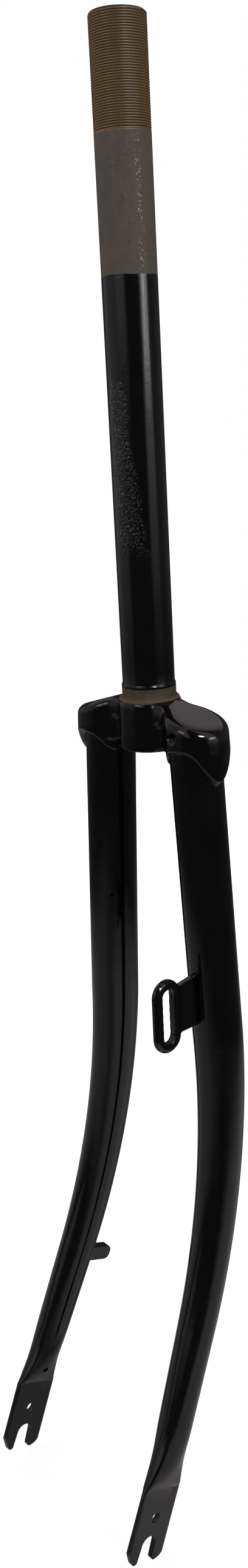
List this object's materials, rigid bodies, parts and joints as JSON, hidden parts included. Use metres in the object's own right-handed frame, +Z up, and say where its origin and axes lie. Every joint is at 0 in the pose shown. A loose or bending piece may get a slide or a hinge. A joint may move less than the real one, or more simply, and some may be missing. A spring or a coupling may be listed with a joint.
{
  "type": "bicycle fork",
  "caption": "Rigid bicycle fork with a threaded steerer, scalloped crown and raked round blades with slotted ends, a lamp loop and a brake lug, in black paint",
  "frame": {"origin": "on the steerer axis, level with the foot of the crown race seat", "axes": "+Z up the steerer, -Y the way the bicycle travels, +X the rider's left"},
  "size_m": [0.1202, 0.104, 0.7304],
  "materials": {
    "bare_steel": "oiled brown steel above, gloss black paint below",
    "black_paint": "gloss"
  },
  "bodies": {
    "root": {"steerer_tube": "bare_steel", "fork_crown": "black_paint", "left_blade": "black_paint", "right_blade": "black_paint", "lamp_loop": "black_paint", "brake_lug": "black_paint"}
  },
  "joints": []
}
